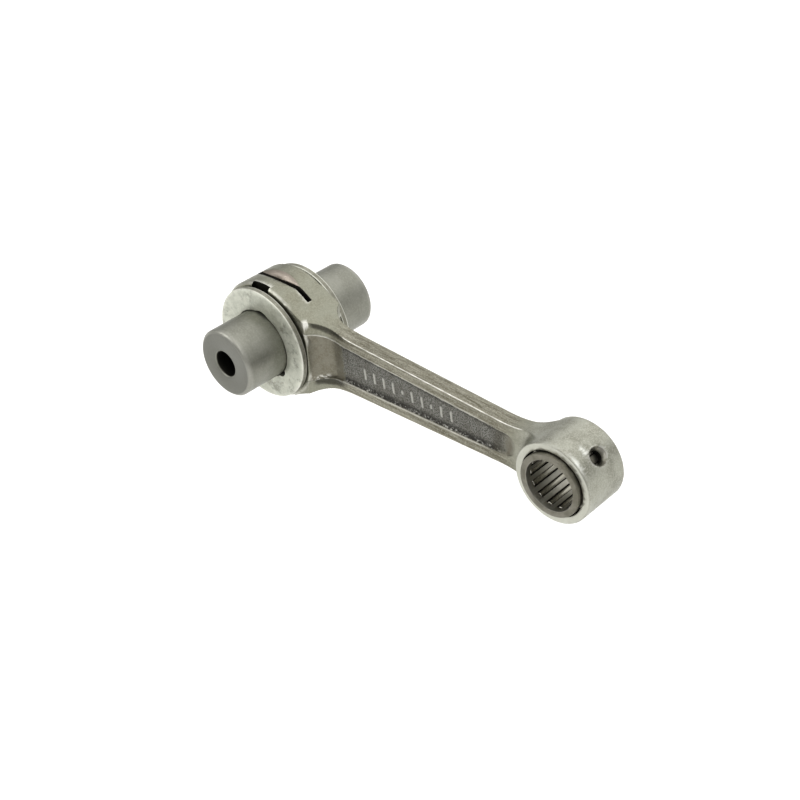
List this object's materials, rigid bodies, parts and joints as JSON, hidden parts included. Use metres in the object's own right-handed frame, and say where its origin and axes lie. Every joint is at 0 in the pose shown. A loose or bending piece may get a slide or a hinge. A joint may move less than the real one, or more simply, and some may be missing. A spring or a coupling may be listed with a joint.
{
  "type": "connecting rod with crank pin",
  "caption": "Forged steel connecting rod of a small two-stroke engine, with crank pin, thrust washers and needle bearings in both eyes.",
  "frame": {"origin": "centre of the bounding box, on the centre line of the rod, midway along the crank pin", "axes": "+X from the big end to the small end, +Y along the crank pin towards its far end, +Z across the rod"},
  "size_m": [0.142, 0.053, 0.0386],
  "materials": {
    "rod_steel": "forged and part ground",
    "pin_steel": "fine ground",
    "washer_steel": "matt plated",
    "cage_steel": "satin",
    "roller_steel": "polished"
  },
  "bodies": {
    "connecting_rod": {"connecting_rod": "rod_steel"},
    "crank_pin": {"crank_pin": "pin_steel"},
    "thrust_washer_near": {"thrust_washer_near": "washer_steel"},
    "thrust_washer_far": {"thrust_washer_far": "washer_steel"},
    "big_end_cage": {"big_end_cage": "cage_steel"},
    "big_end_roller_01": {"big_end_roller_01": "roller_steel"},
    "big_end_roller_02": {"big_end_roller_02": "roller_steel"},
    "big_end_roller_03": {"big_end_roller_03": "roller_steel"},
    "big_end_roller_04": {"big_end_roller_04": "roller_steel"},
    "big_end_roller_05": {"big_end_roller_05": "roller_steel"},
    "big_end_roller_06": {"big_end_roller_06": "roller_steel"},
    "big_end_roller_07": {"big_end_roller_07": "roller_steel"},
    "big_end_roller_08": {"big_end_roller_08": "roller_steel"},
    "big_end_roller_09": {"big_end_roller_09": "roller_steel"},
    "big_end_roller_10": {"big_end_roller_10": "roller_steel"},
    "big_end_roller_11": {"big_end_roller_11": "roller_steel"},
    "big_end_roller_12": {"big_end_roller_12": "roller_steel"},
    "big_end_roller_13": {"big_end_roller_13": "roller_steel"},
    "big_end_roller_14": {"big_end_roller_14": "roller_steel"},
    "big_end_roller_15": {"big_end_roller_15": "roller_steel"},
    "big_end_roller_16": {"big_end_roller_16": "roller_steel"},
    "small_end_cage": {"small_end_cage": "cage_steel"},
    "small_end_roller_01": {"small_end_roller_01": "roller_steel"},
    "small_end_roller_02": {"small_end_roller_02": "roller_steel"},
    "small_end_roller_03": {"small_end_roller_03": "roller_steel"},
    "small_end_roller_04": {"small_end_roller_04": "roller_steel"},
    "small_end_roller_05": {"small_end_roller_05": "roller_steel"},
    "small_end_roller_06": {"small_end_roller_06": "roller_steel"},
    "small_end_roller_07": {"small_end_roller_07": "roller_steel"},
    "small_end_roller_08": {"small_end_roller_08": "roller_steel"},
    "small_end_roller_09": {"small_end_roller_09": "roller_steel"},
    "small_end_roller_10": {"small_end_roller_10": "roller_steel"},
    "small_end_roller_11": {"small_end_roller_11": "roller_steel"},
    "small_end_roller_12": {"small_end_roller_12": "roller_steel"},
    "small_end_roller_13": {"small_end_roller_13": "roller_steel"},
    "small_end_roller_14": {"small_end_roller_14": "roller_steel"}
  },
  "joints": [
    {"name": "crank_pin_spin", "type": "hinge", "parent": "connecting_rod", "child": "crank_pin", "pos_m": [-0.05167, -0.00134, 0], "axis": [0, 1, 0], "continuous": true},
    {"name": "thrust_washer_near_spin", "type": "hinge", "parent": "connecting_rod", "child": "thrust_washer_near", "pos_m": [-0.05167, -0.00134, 0], "axis": [0, 1, 0], "continuous": true},
    {"name": "thrust_washer_far_spin", "type": "hinge", "parent": "connecting_rod", "child": "thrust_washer_far", "pos_m": [-0.05167, -0.00134, 0], "axis": [0, 1, 0], "continuous": true},
    {"name": "big_end_cage_spin", "type": "hinge", "parent": "connecting_rod", "child": "big_end_cage", "pos_m": [-0.05167, -0.00134, 0], "axis": [0, 1, 0], "continuous": true},
    {"name": "big_end_roller_01_spin", "type": "hinge", "parent": "big_end_cage", "child": "big_end_roller_01", "pos_m": [-0.03918, -0.00134, 0], "axis": [0, 1, 0], "continuous": true},
    {"name": "big_end_roller_02_spin", "type": "hinge", "parent": "big_end_cage", "child": "big_end_roller_02", "pos_m": [-0.04013, -0.00134, 0.00478], "axis": [0, 1, 0], "continuous": true},
    {"name": "big_end_roller_03_spin", "type": "hinge", "parent": "big_end_cage", "child": "big_end_roller_03", "pos_m": [-0.04284, -0.00134, 0.00884], "axis": [0, 1, 0], "continuous": true},
    {"name": "big_end_roller_04_spin", "type": "hinge", "parent": "big_end_cage", "child": "big_end_roller_04", "pos_m": [-0.04689, -0.00134, 0.01155], "axis": [0, 1, 0], "continuous": true},
    {"name": "big_end_roller_05_spin", "type": "hinge", "parent": "big_end_cage", "child": "big_end_roller_05", "pos_m": [-0.05167, -0.00134, 0.0125], "axis": [0, 1, 0], "continuous": true},
    {"name": "big_end_roller_06_spin", "type": "hinge", "parent": "big_end_cage", "child": "big_end_roller_06", "pos_m": [-0.05646, -0.00134, 0.01155], "axis": [0, 1, 0], "continuous": true},
    {"name": "big_end_roller_07_spin", "type": "hinge", "parent": "big_end_cage", "child": "big_end_roller_07", "pos_m": [-0.06051, -0.00134, 0.00884], "axis": [0, 1, 0], "continuous": true},
    {"name": "big_end_roller_08_spin", "type": "hinge", "parent": "big_end_cage", "child": "big_end_roller_08", "pos_m": [-0.06322, -0.00134, 0.00478], "axis": [0, 1, 0], "continuous": true},
    {"name": "big_end_roller_09_spin", "type": "hinge", "parent": "big_end_cage", "child": "big_end_roller_09", "pos_m": [-0.06417, -0.00134, 0], "axis": [0, 1, 0], "continuous": true},
    {"name": "big_end_roller_10_spin", "type": "hinge", "parent": "big_end_cage", "child": "big_end_roller_10", "pos_m": [-0.06322, -0.00134, -0.00478], "axis": [0, 1, 0], "continuous": true},
    {"name": "big_end_roller_11_spin", "type": "hinge", "parent": "big_end_cage", "child": "big_end_roller_11", "pos_m": [-0.06051, -0.00134, -0.00884], "axis": [0, 1, 0], "continuous": true},
    {"name": "big_end_roller_12_spin", "type": "hinge", "parent": "big_end_cage", "child": "big_end_roller_12", "pos_m": [-0.05646, -0.00134, -0.01155], "axis": [0, 1, 0], "continuous": true},
    {"name": "big_end_roller_13_spin", "type": "hinge", "parent": "big_end_cage", "child": "big_end_roller_13", "pos_m": [-0.05167, -0.00134, -0.0125], "axis": [0, 1, 0], "continuous": true},
    {"name": "big_end_roller_14_spin", "type": "hinge", "parent": "big_end_cage", "child": "big_end_roller_14", "pos_m": [-0.04689, -0.00134, -0.01155], "axis": [0, 1, 0], "continuous": true},
    {"name": "big_end_roller_15_spin", "type": "hinge", "parent": "big_end_cage", "child": "big_end_roller_15", "pos_m": [-0.04284, -0.00134, -0.00884], "axis": [0, 1, 0], "continuous": true},
    {"name": "big_end_roller_16_spin", "type": "hinge", "parent": "big_end_cage", "child": "big_end_roller_16", "pos_m": [-0.04013, -0.00134, -0.00478], "axis": [0, 1, 0], "continuous": true},
    {"name": "small_end_cage_spin", "type": "hinge", "parent": "connecting_rod", "child": "small_end_cage", "pos_m": [0.05872, -0.00134, 0], "axis": [0, 1, 0], "continuous": true},
    {"name": "small_end_roller_01_spin", "type": "hinge", "parent": "small_end_cage", "child": "small_end_roller_01", "pos_m": [0.06745, -0.00134, 0.00069], "axis": [0, 1, 0], "continuous": true},
    {"name": "small_end_roller_02_spin", "type": "hinge", "parent": "small_end_cage", "child": "small_end_roller_02", "pos_m": [0.06629, -0.00134, 0.0044], "axis": [0, 1, 0], "continuous": true},
    {"name": "small_end_roller_03_spin", "type": "hinge", "parent": "small_end_cage", "child": "small_end_roller_03", "pos_m": [0.06363, -0.00134, 0.00725], "axis": [0, 1, 0], "continuous": true},
    {"name": "small_end_roller_04_spin", "type": "hinge", "parent": "small_end_cage", "child": "small_end_roller_04", "pos_m": [0.06, -0.00134, 0.00866], "axis": [0, 1, 0], "continuous": true},
    {"name": "small_end_roller_05_spin", "type": "hinge", "parent": "small_end_cage", "child": "small_end_roller_05", "pos_m": [0.05611, -0.00134, 0.00835], "axis": [0, 1, 0], "continuous": true},
    {"name": "small_end_roller_06_spin", "type": "hinge", "parent": "small_end_cage", "child": "small_end_roller_06", "pos_m": [0.05275, -0.00134, 0.00639], "axis": [0, 1, 0], "continuous": true},
    {"name": "small_end_roller_07_spin", "type": "hinge", "parent": "small_end_cage", "child": "small_end_roller_07", "pos_m": [0.05057, -0.00134, 0.00317], "axis": [0, 1, 0], "continuous": true},
    {"name": "small_end_roller_08_spin", "type": "hinge", "parent": "small_end_cage", "child": "small_end_roller_08", "pos_m": [0.05, -0.00134, -0.00069], "axis": [0, 1, 0], "continuous": true},
    {"name": "small_end_roller_09_spin", "type": "hinge", "parent": "small_end_cage", "child": "small_end_roller_09", "pos_m": [0.05116, -0.00134, -0.0044], "axis": [0, 1, 0], "continuous": true},
    {"name": "small_end_roller_10_spin", "type": "hinge", "parent": "small_end_cage", "child": "small_end_roller_10", "pos_m": [0.05382, -0.00134, -0.00725], "axis": [0, 1, 0], "continuous": true},
    {"name": "small_end_roller_11_spin", "type": "hinge", "parent": "small_end_cage", "child": "small_end_roller_11", "pos_m": [0.05745, -0.00134, -0.00866], "axis": [0, 1, 0], "continuous": true},
    {"name": "small_end_roller_12_spin", "type": "hinge", "parent": "small_end_cage", "child": "small_end_roller_12", "pos_m": [0.06134, -0.00134, -0.00835], "axis": [0, 1, 0], "continuous": true},
    {"name": "small_end_roller_13_spin", "type": "hinge", "parent": "small_end_cage", "child": "small_end_roller_13", "pos_m": [0.0647, -0.00134, -0.00639], "axis": [0, 1, 0], "continuous": true},
    {"name": "small_end_roller_14_spin", "type": "hinge", "parent": "small_end_cage", "child": "small_end_roller_14", "pos_m": [0.06688, -0.00134, -0.00317], "axis": [0, 1, 0], "continuous": true}
  ],
  "couplings": [
    {"joint": "big_end_cage_spin", "follows": "crank_pin_spin", "ratio": 0.44},
    {"joint": "big_end_roller_01_spin", "follows": "crank_pin_spin", "ratio": -4.1067},
    {"joint": "big_end_roller_02_spin", "follows": "crank_pin_spin", "ratio": -4.1067},
    {"joint": "big_end_roller_03_spin", "follows": "crank_pin_spin", "ratio": -4.1067},
    {"joint": "big_end_roller_04_spin", "follows": "crank_pin_spin", "ratio": -4.1067},
    {"joint": "big_end_roller_05_spin", "follows": "crank_pin_spin", "ratio": -4.1067},
    {"joint": "big_end_roller_06_spin", "follows": "crank_pin_spin", "ratio": -4.1067},
    {"joint": "big_end_roller_07_spin", "follows": "crank_pin_spin", "ratio": -4.1067},
    {"joint": "big_end_roller_08_spin", "follows": "crank_pin_spin", "ratio": -4.1067},
    {"joint": "big_end_roller_09_spin", "follows": "crank_pin_spin", "ratio": -4.1067},
    {"joint": "big_end_roller_10_spin", "follows": "crank_pin_spin", "ratio": -4.1067},
    {"joint": "big_end_roller_11_spin", "follows": "crank_pin_spin", "ratio": -4.1067},
    {"joint": "big_end_roller_12_spin", "follows": "crank_pin_spin", "ratio": -4.1067},
    {"joint": "big_end_roller_13_spin", "follows": "crank_pin_spin", "ratio": -4.1067},
    {"joint": "big_end_roller_14_spin", "follows": "crank_pin_spin", "ratio": -4.1067},
    {"joint": "big_end_roller_15_spin", "follows": "crank_pin_spin", "ratio": -4.1067},
    {"joint": "big_end_roller_16_spin", "follows": "crank_pin_spin", "ratio": -4.1067},
    {"joint": "small_end_roller_01_spin", "follows": "small_end_cage_spin", "ratio": -8},
    {"joint": "small_end_roller_02_spin", "follows": "small_end_cage_spin", "ratio": -8},
    {"joint": "small_end_roller_03_spin", "follows": "small_end_cage_spin", "ratio": -8},
    {"joint": "small_end_roller_04_spin", "follows": "small_end_cage_spin", "ratio": -8},
    {"joint": "small_end_roller_05_spin", "follows": "small_end_cage_spin", "ratio": -8},
    {"joint": "small_end_roller_06_spin", "follows": "small_end_cage_spin", "ratio": -8},
    {"joint": "small_end_roller_07_spin", "follows": "small_end_cage_spin", "ratio": -8},
    {"joint": "small_end_roller_08_spin", "follows": "small_end_cage_spin", "ratio": -8},
    {"joint": "small_end_roller_09_spin", "follows": "small_end_cage_spin", "ratio": -8},
    {"joint": "small_end_roller_10_spin", "follows": "small_end_cage_spin", "ratio": -8},
    {"joint": "small_end_roller_11_spin", "follows": "small_end_cage_spin", "ratio": -8},
    {"joint": "small_end_roller_12_spin", "follows": "small_end_cage_spin", "ratio": -8},
    {"joint": "small_end_roller_13_spin", "follows": "small_end_cage_spin", "ratio": -8},
    {"joint": "small_end_roller_14_spin", "follows": "small_end_cage_spin", "ratio": -8}
  ]
}
